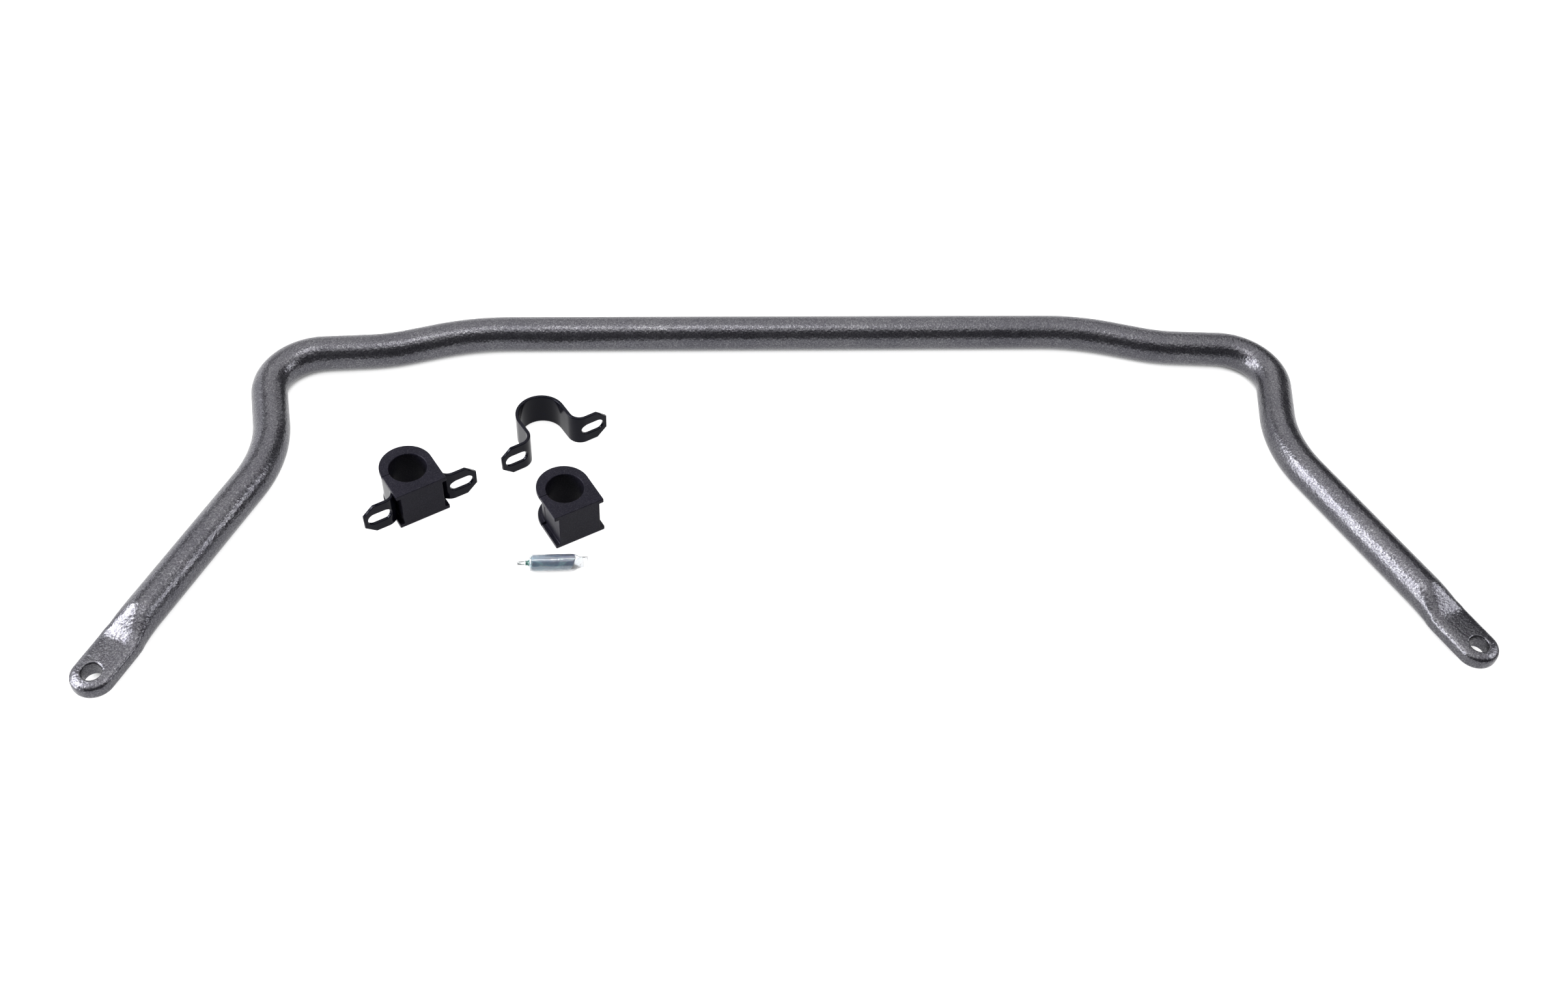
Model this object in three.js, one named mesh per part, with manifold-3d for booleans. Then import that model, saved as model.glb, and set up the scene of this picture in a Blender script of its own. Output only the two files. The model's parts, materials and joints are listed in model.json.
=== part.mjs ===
// Anti-roll bar kit, laid out flat: one bent spring-steel bar with forged eyes, two split
// polyurethane bushings, their two steel brackets (one still on its bushing) and a tube of grease.
// Millimetres, +Z up. X runs along the bar, its arms point to -Y, and everything rests on z = 0.
import * as THREE from 'three';
import { mergeVertices } from 'three/addons/utils/BufferGeometryUtils.js';
import Module from 'manifold-3d';

const wasm = await Module();
wasm.setup();

// ---------------------------------------------------------------- driving dimensions
const BAR_DIAMETER = 31.75;
const BAR_RADIUS = BAR_DIAMETER / 2;
const BAR_SIDES = 24;

// Right half of the bar's centreline, from the middle of the bar: where its straight runs meet,
// and the radius of the bend there.
const BENDS = [
  { x: 286, y: 0, radius: 230 },
  { x: 361, y: -22, radius: 160 },
  { x: 471, y: -27.5, radius: 46 },
  { x: 449.5, y: -151.5, radius: 122 },
];
const EYE = { x: 557.5, y: -381.5, drop: 3 };
const BEND_STEP = 7 * Math.PI / 180;

const EYE_WIDTH = 35;
const EYE_THICKNESS = 15;
const EYE_HOLE_RADIUS = 8;
const EYE_HOLE_CHAMFER = 1.5;
const EYE_EDGE_ROUND = 3.5;
const EYE_ROUND_STEPS = 3;
const EYE_ARC_STEPS = 20;
const EYE_HOLE_SIDES = 32;

// The die presses the top down and outwards over a long slope, and spreads the lower sides and
// lifts the underside over a short one. Both are distances back from the eye's hole.
const PRESSED = { from: 66, to: 30, steps: 12 };
const SPREAD = { from: 45, to: 37 };
const FORGED_SQUARENESS = 4;
const UPPER_BLEND = 0.6;

const BUSHING_HEIGHT = 39;
const BUSHING_BASE = 26.5;
const BUSHING_HALF_WIDTH = 23;
const ARCH_OFFSET = 3.3;
const FLANGE_THICKNESS = 3.9;
const CHANNEL_DEPTH = 4;
const BORE_RADIUS = 16.1;
const BORE_CHAMFER = 0.8;
const SLIT_WIDTH = 0.5;
const SLIT_OFFSET = 1;
const BUSHING_ARC_STEPS = 12;
const BORE_SIDES = 40;

const STRAP_WIDTH = 30.4;
const STRAP_THICKNESS = 3;
const STRAP_GAP = 0.3;
const STRAP_BEND = 9;
const EAR_FACE = 22.6;
const EAR_HALF_SPAN = 52;
const EAR_CHAMFER = { along: 9.5, across: 8.5 };
const SLOT = { offset: 38, length: 21, width: 11.5 };
const STRAP_ARC_STEPS = 8;
const SLOT_ARC_STEPS = 6;

const TUBE_RADIUS = 7.2;
const TUBE_WALL = 0.5;
const TUBE_SHOULDER_ROUND = 1.8;
const TUBE_SHOULDER_STEPS = 3;
const TUBE_LENGTH = 48.5;
const TUBE_ROUND_LENGTH = 35;
const SEAL_THICKNESS = 1.2;
const GREASE_LENGTH = 38;
const SEAL_START = 45.5;
const TAIL_STEP = 3;
const TUBE_SIDES = 24;
const HEAD_SIDES = 16;
const PART_GAP = 0.3;
const SHOULDER_HOLE_RADIUS = 3.8;
const DISC_THICKNESS = TUBE_SHOULDER_ROUND - TUBE_WALL;
const NECK_RADIUS = 2;
const NECK_BORE = 1.4;
const NECK_LENGTH = 3.4;
const NOZZLE = { length: 6.8, rootRadius: 1.8, endRadius: 1.5, bore: 0.6 };
const TIP = { length: 8.1, rootRadius: 1.3, endRadius: 0.8 };

// Where the small pieces lie: the bore's centre (or the centre of the bracket's arch, or the front
// of the tube's shoulder) from the middle of the bar, and the turn about Z in degrees.
const LEFT_PLACE = { x: -329.5, y: -189, turn: 29.6 };
const RIGHT_BUSHING_PLACE = { x: -196.5, y: -214.5, turn: 28 };
const RIGHT_BRACKET_PLACE = { x: -220, y: -117, turn: 30 };
const TUBE_PLACE = { x: -226, y: -269.5, turn: 0.5 };

const CUT_PAST = 1;

// The bar's straight middle lies this far behind the origin, which is the centre of the layout.
const MID_AXIS_Y = (EYE_WIDTH / 2 - EYE.y - BAR_RADIUS) / 2;

// ---------------------------------------------------------------- solids
function toSolid(geometry) {
  const bare = geometry.clone();
  bare.deleteAttribute('normal');
  bare.deleteAttribute('uv');
  const merged = mergeVertices(bare, 1e-4);
  return new wasm.Manifold(new wasm.Mesh({
    numProp: 3,
    vertProperties: new Float32Array(merged.attributes.position.array),
    triVerts: new Uint32Array(merged.index.array),
  }));
}

function toGeometry(solid) {
  const mesh = solid.getMesh();
  const geometry = new THREE.BufferGeometry();
  geometry.setAttribute('position', new THREE.BufferAttribute(new Float32Array(mesh.vertProperties), 3));
  geometry.setIndex(new THREE.BufferAttribute(new Uint32Array(mesh.triVerts), 1));
  geometry.computeVertexNormals();
  return geometry;
}

// A flat outline raised to a height, with its edges rounded by bevel.
function raise(shape, height, curveSegments, bevel = 0) {
  const geometry = new THREE.ExtrudeGeometry(shape, {
    depth: height - 2 * bevel,
    steps: 1,
    curveSegments,
    bevelEnabled: bevel > 0,
    bevelSize: bevel,
    bevelThickness: bevel,
    bevelOffset: -bevel,
    bevelSegments: EYE_ROUND_STEPS,
  });
  return geometry.translate(0, 0, bevel);
}

// What a drill and a countersink take away: an upright hole from z = 0 to height, widened by
// chamfer at both mouths.
function holeCutter(radius, chamfer, height, sides) {
  const mouth = radius + chamfer + CUT_PAST;
  const profile = [
    new THREE.Vector2(0, -CUT_PAST),
    new THREE.Vector2(mouth, -CUT_PAST),
    new THREE.Vector2(radius, chamfer),
    new THREE.Vector2(radius, height - chamfer),
    new THREE.Vector2(mouth, height + CUT_PAST),
    new THREE.Vector2(0, height + CUT_PAST),
  ];
  return new THREE.LatheGeometry(profile, sides).rotateX(Math.PI / 2);
}

// ---------------------------------------------------------------- bar
// A bend's arc between two straight runs, as stations of a point and a direction.
function bendStations(before, bend, after) {
  const corner = new THREE.Vector3(bend.x, bend.y, 0);
  const arriving = corner.clone().sub(before).normalize();
  const leaving = after.clone().sub(corner).normalize();
  const turn = Math.atan2(arriving.x * leaving.y - arriving.y * leaving.x, arriving.dot(leaving));
  const reach = bend.radius * Math.tan(Math.abs(turn) / 2);
  const start = corner.clone().addScaledVector(arriving, -reach);
  const inward = new THREE.Vector3(-arriving.y, arriving.x, 0).multiplyScalar(Math.sign(turn));
  const centre = start.clone().addScaledVector(inward, bend.radius);
  const up = new THREE.Vector3(0, 0, 1);
  const steps = Math.ceil(Math.abs(turn) / BEND_STEP);
  const stations = [];
  for (let i = 0; i <= steps; i += 1) {
    const angle = turn * i / steps;
    const point = start.clone().sub(centre).applyAxisAngle(up, angle).add(centre);
    stations.push({ point, direction: arriving.clone().applyAxisAngle(up, angle) });
  }
  return stations;
}

const eyeCentre = new THREE.Vector3(EYE.x, EYE.y, 0);
const lastBend = new THREE.Vector3(BENDS.at(-1).x, BENDS.at(-1).y, 0);
const armDirection = eyeCentre.clone().sub(lastBend).normalize();
const armSide = new THREE.Vector3(-armDirection.y, armDirection.x, 0);

function halfStations() {
  const corners = BENDS.map((bend) => new THREE.Vector3(bend.x, bend.y, 0));
  const line = [new THREE.Vector3(0, 0, 0), ...corners, eyeCentre];
  const stations = BENDS.flatMap((bend, i) => bendStations(line[i], bend, line[i + 2]));
  for (let i = 0; i <= PRESSED.steps; i += 1) {
    const back = THREE.MathUtils.lerp(PRESSED.from, PRESSED.to, i / PRESSED.steps);
    const point = eyeCentre.clone().addScaledVector(armDirection, -back);
    stations.push({ point, direction: armDirection.clone() });
  }
  stations.push({ point: eyeCentre.clone(), direction: armDirection.clone() });
  return stations;
}

// The whole centreline, from the left eye to the right eye, sampled exactly at its stations.
class BarLine extends THREE.Curve {
  constructor() {
    super();
    const right = halfStations();
    const left = right.toReversed().map(({ point, direction }) => ({
      point: new THREE.Vector3(-point.x, point.y, 0),
      direction: new THREE.Vector3(direction.x, -direction.y, 0),
    }));
    this.stations = [...left, ...right];
  }

  get steps() {
    return this.stations.length - 1;
  }

  getUtoTmapping(u) {
    return u;
  }

  getPoint(t, target = new THREE.Vector3()) {
    return target.copy(this.stations[Math.round(t * this.steps)].point);
  }

  getTangent(t, target = new THREE.Vector3()) {
    return target.copy(this.stations[Math.round(t * this.steps)].direction);
  }
}

// How far a die's slope has done its work at a distance back from the eye, from 0 to 1.
function worked(slope, back) {
  return 1 - THREE.MathUtils.smoothstep(back, slope.to, slope.from);
}

// Turns a round section's unit coordinate into a rounded rectangle's.
function squared(unit) {
  return Math.sign(unit) * Math.abs(unit) ** (2 / FORGED_SQUARENESS);
}

// Flattens and widens the round section near both eyes, as a press does.
function forgeEnds(geometry) {
  const { lerp } = THREE.MathUtils;
  const position = geometry.attributes.position;
  const point = new THREE.Vector3();
  for (let i = 0; i < position.count; i += 1) {
    point.fromBufferAttribute(position, i);
    const hand = Math.sign(point.x);
    point.x *= hand;
    const fromEye = point.clone().sub(eyeCentre);
    const back = -fromEye.dot(armDirection);
    const sideways = fromEye.dot(armSide);
    if (back < PRESSED.from && Math.abs(sideways) < BAR_DIAMETER) {
      const press = worked(PRESSED, back);
      const spread = worked(SPREAD, back);
      const top = lerp(BAR_RADIUS, EYE_THICKNESS / 2 - EYE.drop, press);
      const bottom = lerp(-BAR_RADIUS, -EYE_THICKNESS / 2 - EYE.drop, spread);
      const unitAcross = sideways / BAR_RADIUS;
      const unitUp = point.z / BAR_RADIUS;
      const upper = THREE.MathUtils.smoothstep(unitUp, -UPPER_BLEND, UPPER_BLEND);
      const formed = lerp(spread, press, upper);
      const across = lerp(sideways, squared(unitAcross) * EYE_WIDTH / 2, formed);
      point.addScaledVector(armSide, across - sideways);
      const up = lerp(unitUp, squared(unitUp), formed);
      point.z = (top + bottom) / 2 + up * (top - bottom) / 2;
    }
    position.setXYZ(i, hand * point.x, point.y, point.z);
  }
  return geometry;
}

function makeBar() {
  const section = new THREE.Shape();
  section.absarc(0, 0, BAR_RADIUS, 0, 2 * Math.PI);
  const line = new BarLine();
  const sweep = new THREE.ExtrudeGeometry(section, {
    steps: line.steps,
    curveSegments: BAR_SIDES / 2,
    extrudePath: line,
  });
  let solid = toSolid(forgeEnds(sweep));
  const round = new THREE.Shape();
  round.absarc(0, 0, EYE_WIDTH / 2, 0, 2 * Math.PI);
  for (const hand of [-1, 1]) {
    const low = -EYE.drop - EYE_THICKNESS / 2;
    const eye = raise(round, EYE_THICKNESS, EYE_ARC_STEPS, EYE_EDGE_ROUND);
    eye.translate(hand * EYE.x, EYE.y, low);
    const hole = holeCutter(EYE_HOLE_RADIUS, EYE_HOLE_CHAMFER, EYE_THICKNESS, EYE_HOLE_SIDES);
    hole.translate(hand * EYE.x, EYE.y, low);
    solid = solid.add(toSolid(eye)).subtract(toSolid(hole));
  }
  return toGeometry(solid);
}

// ---------------------------------------------------------------- bushing
// Flat base at the bottom, straight sides and a round top, around a bore at the origin.
function archShape(halfWidth) {
  const shape = new THREE.Shape();
  shape.moveTo(-halfWidth, -BUSHING_BASE);
  shape.lineTo(halfWidth, -BUSHING_BASE);
  shape.lineTo(halfWidth, ARCH_OFFSET);
  shape.absarc(0, ARCH_OFFSET, halfWidth, 0, Math.PI);
  return shape;
}

function makeBushing() {
  const coreShape = archShape(BUSHING_HALF_WIDTH - CHANNEL_DEPTH);
  const core = raise(coreShape, BUSHING_HEIGHT, BUSHING_ARC_STEPS);
  let solid = toSolid(core);
  for (const low of [0, BUSHING_HEIGHT - FLANGE_THICKNESS]) {
    const flange = raise(archShape(BUSHING_HALF_WIDTH), FLANGE_THICKNESS, BUSHING_ARC_STEPS);
    solid = solid.add(toSolid(flange.translate(0, 0, low)));
  }
  const bore = holeCutter(BORE_RADIUS, BORE_CHAMFER, BUSHING_HEIGHT, BORE_SIDES);
  solid = solid.subtract(toSolid(bore));
  const slit = new THREE.BoxGeometry(BUSHING_HALF_WIDTH, SLIT_WIDTH, 2 * BUSHING_HEIGHT);
  slit.translate(-BUSHING_HALF_WIDTH, SLIT_OFFSET, 0);
  solid = solid.subtract(toSolid(slit));
  return toGeometry(solid);
}

// ---------------------------------------------------------------- bracket
// The strap's edge: over the arch, down both legs, and out along both ears.
function strapShape() {
  const inside = BUSHING_HALF_WIDTH - CHANNEL_DEPTH + STRAP_GAP;
  const outside = inside + STRAP_THICKNESS;
  const bendX = outside + STRAP_BEND;
  const bendY = -EAR_FACE + STRAP_THICKNESS + STRAP_BEND;
  const wide = STRAP_BEND + STRAP_THICKNESS;
  const down = -Math.PI / 2;
  const shape = new THREE.Shape();
  shape.moveTo(EAR_HALF_SPAN, -EAR_FACE + STRAP_THICKNESS);
  shape.lineTo(EAR_HALF_SPAN, -EAR_FACE);
  shape.absarc(bendX, bendY, wide, down, -Math.PI, true);
  shape.absarc(0, ARCH_OFFSET, inside, 0, Math.PI);
  shape.absarc(-bendX, bendY, wide, 0, down, true);
  shape.lineTo(-EAR_HALF_SPAN, -EAR_FACE);
  shape.lineTo(-EAR_HALF_SPAN, -EAR_FACE + STRAP_THICKNESS);
  shape.absarc(-bendX, bendY, STRAP_BEND, down, 0);
  shape.absarc(0, ARCH_OFFSET, outside, Math.PI, 0, true);
  shape.absarc(bendX, bendY, STRAP_BEND, Math.PI, Math.PI - down);
  return shape;
}

// The strap seen face on: a rectangle with its four corners cut off.
function blankShape() {
  const { along, across } = EAR_CHAMFER;
  const shape = new THREE.Shape();
  shape.moveTo(along - EAR_HALF_SPAN, 0);
  shape.lineTo(EAR_HALF_SPAN - along, 0);
  shape.lineTo(EAR_HALF_SPAN, across);
  shape.lineTo(EAR_HALF_SPAN, STRAP_WIDTH - across);
  shape.lineTo(EAR_HALF_SPAN - along, STRAP_WIDTH);
  shape.lineTo(along - EAR_HALF_SPAN, STRAP_WIDTH);
  shape.lineTo(-EAR_HALF_SPAN, STRAP_WIDTH - across);
  shape.lineTo(-EAR_HALF_SPAN, across);
  return shape;
}

function slotShape(centreX) {
  const radius = SLOT.width / 2;
  const half = SLOT.length / 2 - radius;
  const shape = new THREE.Shape();
  shape.absarc(centreX + half, STRAP_WIDTH / 2, radius, -Math.PI / 2, Math.PI / 2);
  shape.absarc(centreX - half, STRAP_WIDTH / 2, radius, Math.PI / 2, 1.5 * Math.PI);
  return shape;
}

// Raises an outline drawn on the ears' face right through the bracket.
function throughBracket(shape) {
  const depth = 4 * EAR_HALF_SPAN;
  const cutter = raise(shape, depth, SLOT_ARC_STEPS).translate(0, 0, -depth / 2);
  return toSolid(cutter.rotateX(Math.PI / 2));
}

function makeBracket() {
  let solid = toSolid(raise(strapShape(), STRAP_WIDTH, STRAP_ARC_STEPS));
  solid = solid.intersect(throughBracket(blankShape()));
  for (const hand of [-1, 1]) {
    solid = solid.subtract(throughBracket(slotShape(hand * SLOT.offset)));
  }
  return toGeometry(solid);
}

// ---------------------------------------------------------------- grease tube
// A round body about the X axis, from its profile of [x, radius] points.
function turn(profile, sides) {
  const points = profile.map(([x, radius]) => new THREE.Vector2(radius, x));
  return new THREE.LatheGeometry(points, sides).rotateZ(-Math.PI / 2);
}

// Flattens the tail of the tube into an upright seal.
function pinchTail(geometry) {
  const position = geometry.attributes.position;
  const sealed = SEAL_THICKNESS / (2 * TUBE_RADIUS);
  for (let i = 0; i < position.count; i += 1) {
    const pinch = THREE.MathUtils.smoothstep(position.getX(i), TUBE_ROUND_LENGTH, SEAL_START);
    position.setY(i, position.getY(i) * THREE.MathUtils.lerp(1, sealed, pinch));
  }
  return geometry;
}

// Stations along the pinched tail, all at one radius.
function tailPoints(radius, end) {
  const points = [];
  for (let x = TUBE_ROUND_LENGTH; x < end; x += TAIL_STEP) {
    points.push([x, radius]);
  }
  points.push([end, radius]);
  return points;
}

// The rounded edge between the tube's front and its side.
function shoulderPoints() {
  const points = [];
  for (let i = 0; i <= TUBE_SHOULDER_STEPS; i += 1) {
    const angle = Math.PI / 2 * i / TUBE_SHOULDER_STEPS;
    const x = TUBE_SHOULDER_ROUND * (1 - Math.cos(angle));
    points.push([x, TUBE_RADIUS - TUBE_SHOULDER_ROUND * (1 - Math.sin(angle))]);
  }
  return points;
}

function makeSleeve() {
  const outer = turn([
    [0, 0],
    ...shoulderPoints(),
    ...tailPoints(TUBE_RADIUS, TUBE_LENGTH),
    [TUBE_LENGTH, 0],
  ], TUBE_SIDES);
  const inside = TUBE_RADIUS - TUBE_WALL;
  const hollow = turn([
    [-CUT_PAST, 0],
    [-CUT_PAST, SHOULDER_HOLE_RADIUS],
    [TUBE_WALL, SHOULDER_HOLE_RADIUS],
    [TUBE_WALL, inside - DISC_THICKNESS],
    [TUBE_SHOULDER_ROUND, inside],
    ...tailPoints(inside, GREASE_LENGTH + 2 * PART_GAP),
    [GREASE_LENGTH + 4 * PART_GAP, 0],
  ], TUBE_SIDES);
  return toGeometry(toSolid(pinchTail(outer)).subtract(toSolid(pinchTail(hollow))));
}

function makeHead() {
  const collar = SHOULDER_HOLE_RADIUS - PART_GAP;
  const front = TUBE_WALL + PART_GAP;
  const back = front + DISC_THICKNESS;
  const disc = TUBE_RADIUS - TUBE_WALL - PART_GAP;
  const nozzleEnd = -NECK_LENGTH - NOZZLE.length;
  const bore = NOZZLE.bore;
  const outer = turn([
    [nozzleEnd, 0],
    [nozzleEnd, NOZZLE.endRadius],
    [-NECK_LENGTH, NOZZLE.rootRadius],
    [-NECK_LENGTH, NECK_RADIUS],
    [NECK_RADIUS - collar, NECK_RADIUS],
    [0, collar],
    [front, collar],
    [front, disc - DISC_THICKNESS],
    [back, disc],
    [back, 0],
  ], HEAD_SIDES);
  const hole = turn([
    [nozzleEnd - CUT_PAST, 0],
    [nozzleEnd - CUT_PAST, bore],
    [-NECK_LENGTH, bore],
    [-NECK_LENGTH, NECK_BORE],
    [back + CUT_PAST, NECK_BORE],
    [back + CUT_PAST, 0],
  ], HEAD_SIDES);
  return toGeometry(toSolid(outer).subtract(toSolid(hole)));
}

function makeGrease() {
  const radius = TUBE_RADIUS - TUBE_WALL - PART_GAP;
  const front = TUBE_WALL + DISC_THICKNESS + 2 * PART_GAP;
  const thread = NECK_BORE - PART_GAP;
  return toGeometry(toSolid(pinchTail(turn([
    [PART_GAP - NECK_LENGTH, 0],
    [PART_GAP - NECK_LENGTH, thread],
    [front, thread],
    [front, radius],
    ...tailPoints(radius, GREASE_LENGTH),
    [GREASE_LENGTH, 0],
  ], TUBE_SIDES))));
}

function makeTip() {
  const root = -NECK_LENGTH - NOZZLE.length - PART_GAP;
  return toGeometry(toSolid(turn([
    [root - TIP.length, 0],
    [root - TIP.length, TIP.endRadius],
    [root, TIP.rootRadius],
    [root, 0],
  ], HEAD_SIDES)));
}

// ---------------------------------------------------------------- assembly
function material(colour, roughness, metalness, opacity = 1) {
  return new THREE.MeshStandardMaterial({
    color: colour,
    roughness,
    metalness,
    opacity,
    transparent: opacity < 1,
  });
}

const powderCoat = material(0x4a4a4d, 0.45, 0.5);
const polyurethane = material(0x18171b, 0.5, 0);
const blackPaint = material(0x141416, 0.25, 0.3);
const clearPlastic = material(0xe6eef0, 0.15, 0, 0.4);
const grease = material(0x3f7480, 0.4, 0);

function named(name, geometry, finish) {
  const mesh = new THREE.Mesh(geometry, finish);
  mesh.name = name;
  return mesh;
}

function placed(place, ...meshes) {
  const group = new THREE.Group();
  group.position.set(place.x, place.y, 0);
  group.rotation.z = THREE.MathUtils.degToRad(place.turn);
  group.add(...meshes);
  return group;
}

const bar = named('bar', makeBar(), powderCoat);
bar.position.z = BAR_RADIUS;

const bushingLeft = named('bushing_left', makeBushing(), polyurethane);
const bushingRight = named('bushing_right', makeBushing(), polyurethane);

const bracketLeft = named('bracket_left', makeBracket(), blackPaint);
bracketLeft.position.z = (BUSHING_HEIGHT - STRAP_WIDTH) / 2;
const bracketRight = named('bracket_right', makeBracket(), blackPaint);
bracketRight.position.y = -ARCH_OFFSET;

const tube = new THREE.Group();
tube.position.z = TUBE_RADIUS;
tube.add(
  named('tube_sleeve', makeSleeve(), clearPlastic),
  named('tube_head', makeHead(), clearPlastic),
  named('tube_tip', makeTip(), clearPlastic),
  named('tube_grease', makeGrease(), grease),
);

const kit = new THREE.Group();
kit.position.y = MID_AXIS_Y;
kit.add(
  bar,
  placed(LEFT_PLACE, bushingLeft, bracketLeft),
  placed(RIGHT_BUSHING_PLACE, bushingRight),
  placed(RIGHT_BRACKET_PLACE, bracketRight),
  placed(TUBE_PLACE, tube),
);

export default kit;
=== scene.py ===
# A sway bar kit laid out on a light table: one bent, powder coated bar with forged eyes, two split
# polyurethane bushings, their two brackets and a small tube of grease.
import json
import math

import bmesh
import bpy
from mathutils import Matrix, Vector, noise


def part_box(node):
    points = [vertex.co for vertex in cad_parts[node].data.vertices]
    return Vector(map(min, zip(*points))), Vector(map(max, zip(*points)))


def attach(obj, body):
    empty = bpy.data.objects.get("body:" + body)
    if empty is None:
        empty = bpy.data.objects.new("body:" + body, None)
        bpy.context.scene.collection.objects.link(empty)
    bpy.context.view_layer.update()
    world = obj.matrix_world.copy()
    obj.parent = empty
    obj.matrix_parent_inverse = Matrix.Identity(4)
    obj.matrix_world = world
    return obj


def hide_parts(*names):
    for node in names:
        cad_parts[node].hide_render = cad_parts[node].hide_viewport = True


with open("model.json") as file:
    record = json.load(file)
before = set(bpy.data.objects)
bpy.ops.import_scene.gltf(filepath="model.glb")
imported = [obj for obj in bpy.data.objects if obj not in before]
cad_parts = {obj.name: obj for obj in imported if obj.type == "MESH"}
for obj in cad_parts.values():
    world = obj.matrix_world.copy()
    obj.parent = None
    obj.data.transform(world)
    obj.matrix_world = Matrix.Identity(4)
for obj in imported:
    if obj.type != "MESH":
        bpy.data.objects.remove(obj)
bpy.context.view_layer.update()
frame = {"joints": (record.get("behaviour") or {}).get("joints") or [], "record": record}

MM = 0.001
# Points closer than this are one point.
WELD = 0.002 * MM
mounts = {mount["name"]: mount for mount in frame["record"]["mounts"]}
joints = {joint["name"]: joint for joint in frame["joints"]}

# ---------------------------------------------------------------- dimensions
BAR_RADIUS = 15.875 * MM
MID_AXIS = Vector(joints["bar_turn"]["pos_m"])
# Where the right half's straight runs meet, from the middle of the bar, and the bend's radius.
BENDS = [
    (286 * MM, 0, 230 * MM),
    (361 * MM, -22 * MM, 160 * MM),
    (471 * MM, -27.5 * MM, 46 * MM),
    (449.5 * MM, -151.5 * MM, 122 * MM),
]
EYE = Vector((557.5, -381.5)) * MM
EYE_DROP = 3 * MM
EYE_WIDTH = 35 * MM
EYE_THICKNESS = 15 * MM
HOLE_RADIUS = 8 * MM
HOLE_ROUND = 1.5 * MM
# Where the forging ends and starts, back from the eye's hole: the die presses the top down over a
# long slope, and spreads the sides and lifts the underside over a short one.
PRESSED = (30 * MM, 66 * MM)
SPREAD = (37 * MM, 45 * MM)
FORGED_SQUARENESS = 4
# How far above and below its middle the section goes over from the one to the other.
UPPER_BLEND = 0.6
BAR_STEP = 1.5 * MM
BAR_SIDES = 60
CAP_STEPS = 36
HOLE_SIDES = 96
# The coating's wrinkles: how deep they are on average, and how wide.
RELIEF_DEPTH = 0.035 * MM
RELIEF_SIZE = 3.2 * MM

BUSHING_HEIGHT = 39 * MM
BUSHING_BASE = 26.5 * MM
BUSHING_HALF_WIDTH = 23 * MM
ARCH_OFFSET = 3.3 * MM
FLANGE_THICKNESS = 3.9 * MM
CHANNEL_DEPTH = 4 * MM
BORE_RADIUS = 16.1 * MM
BORE_CHAMFER = 0.8 * MM
SLIT_WIDTH = 0.5 * MM
SLIT_OFFSET = 1 * MM
MOULD_ROUND = 0.6 * MM
MOULD_FILLET = 1.0 * MM
ROUND_STEPS = 4
MOUTH_STEPS = 6
ARCH_STEPS = 64
BORE_STEPS = 96

STRAP_WIDTH = 30.4 * MM
STRAP_THICKNESS = 3 * MM
STRAP_GAP = 0.3 * MM
STRAP_BEND = 9 * MM
STRAP_EDGE = 0.7 * MM
EAR_FACE = 22.6 * MM
EAR_HALF_SPAN = 52 * MM
EAR_CHAMFER = (9.5 * MM, 8.5 * MM)
SLOT_OFFSET = 38 * MM
SLOT_LENGTH = 21 * MM
SLOT_WIDTH = 11.5 * MM
SLOT_STEPS = 24
STRAP_CUTS = 96

TUBE_RADIUS = 7.2 * MM
TUBE_SIDES = 96
TUBE_STEP = 0.6 * MM
FILM = 0.35 * MM
TUBE_LENGTH = 48.5 * MM
TUBE_ROUND_LENGTH = 36 * MM
SEAL_START = 44.5 * MM
SEAL_THICKNESS = 1.2 * MM
SEAL_CREVICE = 0.24 * MM
SHOULDER_ROUND = 2.2 * MM
SHOULDER_STEPS = 6
CRIMP_PITCH = 0.9 * MM
DENTS = 0.06
DENT_SIZE = 9 * MM
GREASE_LENGTH = 34.6 * MM
GREASE_SLANT = 0.5
GREASE_GAP = 0.12 * MM
GREASE_SHRINK = 0.99
GREASE_SIDES = 80
SHOULDER_HOLE = 3.8 * MM
DISC_THICKNESS = 1.3 * MM
PART_GAP = 0.3 * MM
NECK_LENGTH = 3.4 * MM
NECK_RADIUS = 2 * MM
NECK_BORE = 1.65 * MM
NOZZLE_LENGTH = 6.8 * MM
NOZZLE_BORE = 0.6 * MM
HEAD_SIDES = 64
TIP_LENGTH = 8.1 * MM
TIP_SIDES = 48

# ---------------------------------------------------------------- camera
CAMERA_AT = Vector((-0.13584, -0.99543, 1.13144))
CAMERA_YAW = math.radians(7.40)
CAMERA_PITCH = math.radians(48.53)
CAMERA_ROLL = math.radians(4.87)
CAMERA_LENS = 39.42
SENSOR_WIDTH = 36


def add_camera():
    data = bpy.data.cameras.new("camera")
    data.lens = CAMERA_LENS
    data.sensor_fit = "HORIZONTAL"
    data.sensor_width = SENSOR_WIDTH
    camera = bpy.data.objects.new("camera", data)
    bpy.context.scene.collection.objects.link(camera)
    heading = Matrix.Rotation(-CAMERA_YAW, 4, "Z")
    tilt = Matrix.Rotation(math.pi / 2 - CAMERA_PITCH, 4, "X")
    roll = Matrix.Rotation(CAMERA_ROLL, 4, "Z")
    camera.matrix_world = Matrix.Translation(CAMERA_AT) @ heading @ tilt @ roll
    bpy.context.scene.camera = camera


# ---------------------------------------------------------------- mesh helpers
def smoothstep(low, high, value):
    t = min(1, max(0, (value - low) / (high - low)))
    return t * t * (3 - 2 * t)


def mix(a, b, t):
    return a + (b - a) * t


def make_mesh(name, bm):
    """A smooth-shaded mesh from bm, with its faces pointing out."""
    bmesh.ops.recalc_face_normals(bm, faces=bm.faces)
    mesh = bpy.data.meshes.new(name)
    bm.to_mesh(mesh)
    bm.free()
    mesh.shade_smooth()
    return mesh


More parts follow.
